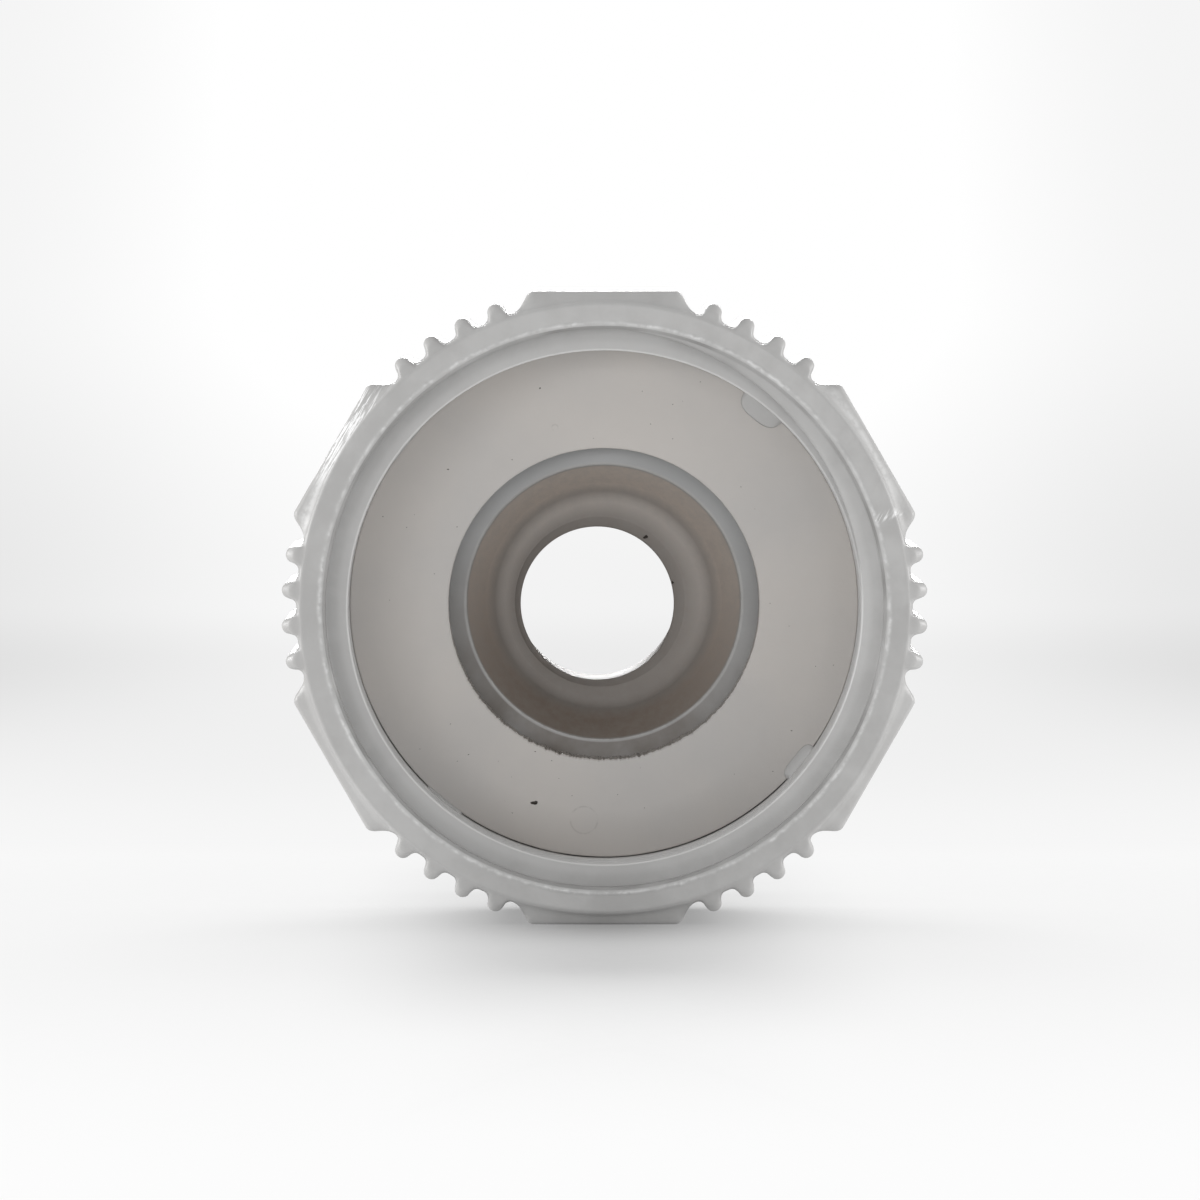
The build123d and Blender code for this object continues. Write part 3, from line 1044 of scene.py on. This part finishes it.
@dataclass
class WasherGrit(Piece):
    """Grains of dirt pressed onto the washer's face."""

    finish: Grit = Grit()
    depth: float = 9.5
    grains: tuple[tuple[float, float, float, float, float], ...] = (
        (-3.34, -9.56, 9.5, 0.15, 25.0),
        (-3.07, 10.33, 9.5, 0.045, 80.0),
        (-7.48, 6.44, 9.5, 0.050, 10.0),
        (-3.30, -7.10, 9.5, 0.030, 0.0),
        (-6.50, -7.25, 9.5, 0.032, 40.0),
        (-4.40, -10.05, 9.5, 0.028, 0.0),
        (9.00, -6.10, 9.5, 0.035, 0.0),
        (8.10, -8.05, 9.5, 0.026, 0.0),
        (2.05, 3.02, 18.9, 0.11, 60.0),
        (3.36, 0.80, 19.12, 0.07, 110.0),
    )
    dust_count: int = 34

    def grain(self, across: float, up: float, depth: float, size: float, turn: float) -> None:
        """Adds one grain: a flattened ball, drawn out to one side so that it is a rough wedge.

        Args:
            across: Place across the face.
            up: Place up the face.
            depth: Depth of the face there.
            size: Half its length.
            turn: Angle of its long side.
        """
        level = np.linspace(0.06, np.pi - 0.06, 7)[:, None]
        around = np.linspace(0.0, 2.0 * np.pi, 10, endpoint=False)
        reach = size * np.sin(level) * (1.0 + 0.28 * np.cos(2.0 * around + 0.6) + 0.16 * np.sin(3.0 * around))
        spin = around + np.radians(turn)
        sides = (across + reach * np.cos(spin), depth - 0.5 * size * np.cos(level), up + 0.75 * reach * np.sin(spin))
        self.add_tube(np.stack(np.broadcast_arrays(*sides), -1), True)

    def build(self) -> Object:
        """Makes and dresses the grains as one piece.

        Returns:
            The piece.
        """
        random = np.random.default_rng(21)
        turn = np.radians(random.uniform(0.0, 360.0, self.dust_count))
        reach = random.uniform(7.9, 11.7, self.dust_count)
        size = random.uniform(0.014, 0.028, self.dust_count)
        lie = random.uniform(0.0, 360.0, self.dust_count)
        dust = np.stack([reach * np.cos(turn), reach * np.sin(turn), np.full_like(size, self.depth), size, lie], -1)
        for grain in (*self.grains, *dust.tolist()):
            self.grain(*grain)
        piece = self.stand("washer_grit", self.finish.make())
        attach(piece, "root")
        return piece


@dataclass
class SpigotRing(Piece):
    """O-ring of the spigot, with the fine line that its mould left round the outside."""

    finish: RingRubber = RingRubber()
    ring_radius: float = 7.3
    section_radius: float = 1.25
    depth: float = 35.8
    line_width: float = 0.10
    line_height: float = 0.025
    columns: int = 220
    around: int = 64

    def build(self) -> Object:
        """Makes and dresses the ring.

        A circle carried round the axis, with a small bell-shaped ridge at its outermost and
        innermost points and a lean inwards of the same height elsewhere.

        Returns:
            The piece, standing for the CAD O-ring.
        """
        spread = np.linspace(-1.0, 1.0, self.around, endpoint=False)[:, None]
        turn = np.pi * (0.6 * spread + 0.4 * spread**3)
        ridge = np.exp(-((self.section_radius * turn / self.line_width) ** 2))
        radius = self.section_radius - self.line_height * (1.0 - ridge)
        angle = np.radians(np.linspace(0.0, 360.0, self.columns, endpoint=False))
        points = turned(self.ring_radius + radius * np.cos(turn), self.depth + radius * np.sin(turn), angle)
        self.add_tube(points, False)
        piece = self.stand("spigot_ring", self.finish.make())
        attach(piece, "root")
        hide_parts("spigot_o_ring")
        return piece


# Studio


class Reach(Enum):
    """What a lamp lights, by how its link takes the sweep."""

    OBJECT = "EXCLUDE"
    SWEEP = "INCLUDE"


@dataclass
class Lamp:
    """One soft lamp: a rectangle that faces the object."""

    name: str
    spot: Triple
    size: Pair
    level: float
    reach: Reach = Reach.OBJECT

    def hang(self, target: Vector, sweep: Object) -> None:
        """Hangs the lamp.

        Its power is the level times pi squared times the square of the distance, so that a white
        sheet at the target shows that level. Its light falls either on the sweep alone, with the
        object's shadow in it, or on everything but the sweep.

        Args:
            target: What it faces, in metres.
            sweep: The paper sweep.
        """
        light = bpy.data.lights.new(self.name, "AREA")
        light.shape = "RECTANGLE"
        light.size, light.size_y = self.size
        aim = target - Vector(self.spot)
        light.energy = self.level * np.pi**2 * aim.length_squared
        lamp = linked_object(self.name, light)
        lamp.location = self.spot
        lamp.rotation_euler = aim.to_track_quat("-Z", "Y").to_euler()
        lit = bpy.data.collections.new(self.name + "_reach")
        lit.objects.link(sweep)
        lit.collection_objects[0].light_linking.link_state = self.reach.value
        lamp.light_linking.receiver_collection = lit


@dataclass
class Sweep:
    """Pale paper sweep: flat floor, one wide bend and a wall behind."""

    front: float = -1.6
    bend_start: float = 0.42
    bend_radius: float = 0.35
    top: float = 1.4
    half_width: float = 1.6

    def build(self) -> Object:
        """Makes the sweep: its side line, of floor, quarter circle and wall, carried across.

        Returns:
            The sweep.
        """
        turn = np.linspace(0.0, np.pi / 2.0, 33)[1:]
        wall = np.linspace(self.bend_radius, self.top, 13)[1:]
        floor = np.linspace(self.front, self.bend_start, 25)
        bend = self.bend_start + self.bend_radius * np.sin(turn)
        y = np.concatenate([floor, bend, np.full_like(wall, self.bend_start + self.bend_radius)])
        z = np.concatenate([np.zeros_like(floor), self.bend_radius * (1.0 - np.cos(turn)), wall])
        x = np.linspace(-self.half_width, self.half_width, 41)
        grid = np.stack(np.broadcast_arrays(x[None, :], y[:, None], z[:, None]), -1)
        faces = grid_faces(len(y), len(x), 0, False, False).tolist()
        sweep = smooth_object("paper_sweep", grid.reshape(-1, 3), faces, self.paper())
        return sweep

    def paper(self) -> Material:
        """White paper that also glows: plain near the object, with a painted shadow in its light just in front of
        the object, an even pale grey far behind it, and clear from its back.

        Returns:
            The material.
        """
        bench = Bench(bpy.data.materials.new("sweep_paper"))
        across, along, up = bench.node("ShaderNodeSeparateXYZ", {0: bench.place}).outputs
        off_centre = bench.math("ABSOLUTE", across)
        grain = bench.noise(900.0, 3.0, 0.5)
        white = bench.tint(bench.span(along, -0.28, 0.06), (0.76, 0.76, 0.76), (0.47, 0.47, 0.47))
        white = bench.tint(bench.span(grain, 0.3, 0.7, 0.0, 0.04), white, (0.80, 0.80, 0.80))
        through = bench.times(bench.span(along, 0.30, 0.42), bench.span(off_centre, 0.010, 0.020, -0.045, 0.0))
        # where the painted shadow lies: just in front of the object
        near = bench.times(bench.span(along, -0.13, -0.07), bench.span(along, 0.02, 0.08, 1.0, 0.0))
        side = bench.span(off_centre, 0.018, 0.055, 0.095, -0.045)
        glow = bench.total(
            bench.span(along, 0.04, 0.42, 0.93, 0.785),
            bench.span(along, -0.25, -0.02, 0.07, 0.0),
            bench.total(bench.span(up, 0.0, 0.004, 0.0, 0.06), bench.span(up, 0.004, 0.03, 0.0, 0.11)),
            through,
            # painted shadow: the paper's light dimmed in a narrow strip in front of the object
            bench.times(near, bench.span(off_centre, 0.004, 0.014, -0.16, 0.0)),
            bench.times(side, bench.span(along, 0.15, 0.42)),
        )
        # less emission at the middle lets the real shadow show there; more at the sides lightens it away, a painted
        # light
        share = bench.math(
            "MAXIMUM",
            bench.span(off_centre, 0.0, 0.010, 0.18, 0.75),
            bench.span(along, 0.02, 0.08),
            bench.span(along, -0.19, -0.10, 0.75, 0.0),
        )
        diffuse = bench.node("ShaderNodeBsdfDiffuse", {"Color": white})
        emission = bench.node("ShaderNodeEmission", {"Strength": bench.math("MINIMUM", glow, 1.0)})
        front = bench.node("ShaderNodeMixShader", {0: share, 1: diffuse.outputs[0], 2: emission.outputs[0]})
        behind = bench.node("ShaderNodeNewGeometry").outputs["Backfacing"]
        clear = bench.node("ShaderNodeBsdfTransparent").outputs[0]
        both = bench.node("ShaderNodeMixShader", {0: behind, 1: front.outputs[0], 2: clear})
        bench.node("ShaderNodeOutputMaterial", {"Surface": both.outputs[0]})
        return bench.owner


@dataclass
class Studio:
    """Floor, lamps, surrounding light and the camera of the photograph."""

    centre: Vector
    camera_spot: Triple = (-0.00196, -0.6996, 0.03094)
    camera_pitch: float = 1.31
    camera_yaw: float = 0.147
    lens: float = 431.3
    around: float = 0.455
    lamps: tuple[Lamp, ...] = (
        Lamp("back_strip", (0.0, 0.70, 0.22), (0.4, 0.2), 0.75),
        Lamp("top_softbox", (-0.10, 0.05, 0.85), (0.8, 0.7), 0.085),
        Lamp("left_strip", (-0.80, 0.05, 0.16), (0.4, 0.25), 0.66),
        Lamp("right_strip", (0.80, 0.05, 0.16), (0.4, 0.25), 0.56),
        Lamp("front_fill", (-0.15, -1.1, 0.10), (0.8, 0.18), 0.24),
        Lamp("sweep_strip", (0.0, 0.66, 0.28), (0.40, 0.3), 2.1, Reach.SWEEP),
        Lamp("sweep_overhead", (0.0, 0.20, 0.60), (0.7, 0.4), 0.66, Reach.SWEEP),
    )

    def light(self, sweep: Object) -> None:
        """Hangs the lamps and sets the even light of the room, which looks white to the camera.

        Args:
            sweep: The paper sweep.
        """
        for lamp in self.lamps:
            lamp.hang(self.centre, sweep)
        world = bpy.data.worlds.new("room_light")
        bench = Bench(world)
        feeds = {0: bench.node("ShaderNodeLightPath").outputs["Is Camera Ray"]}
        for place, strength in ((1, self.around), (2, 1.0)):
            room = bench.node("ShaderNodeBackground", {"Color": (1.0, 1.0, 1.0), "Strength": strength})
            feeds[place] = room.outputs[0]
        mix = bench.node("ShaderNodeMixShader", feeds)
        bench.node("ShaderNodeOutputWorld", {"Surface": mix.outputs[0]})
        bpy.context.scene.world = world

    def camera(self) -> None:
        """Sets the long lens in front of the mouth, looking a little down."""
        lens = bpy.data.cameras.new("photo_camera")
        lens.lens = self.lens
        lens.sensor_width = 36.0
        lens.clip_start = 0.01
        lens.clip_end = 20.0
        camera = linked_object("photo_camera", lens)
        camera.location = self.camera_spot
        camera.rotation_euler = (np.radians(90.0 - self.camera_pitch), 0.0, -np.radians(self.camera_yaw))
        bpy.context.scene.camera = camera

    def build(self) -> None:
        """Makes the whole studio."""
        self.light(Sweep().build())
        self.camera()
        bpy.context.scene.view_settings.view_transform = "Standard"


def report(piece: Object) -> None:
    """Logs a piece's name and size."""
    log.info("%s: %d triangles", piece.name, sum(len(face.vertices) - 2 for face in piece.data.polygons))


def main() -> None:
    """Builds the studio, then the moulding, the washer and its grit, and the O-ring."""
    logging.basicConfig(level=logging.INFO, format="%(message)s")
    low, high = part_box("body")
    place = Vector(((low.x + high.x) / 2.0, low.y, (low.z + high.z) / 2.0))
    Studio(place).build()
    for kind in (Moulding, Washer, WasherGrit, SpigotRing):
        report(kind(place).build())
    bpy.context.view_layer.update()


if __name__ == "__main__":
    main()
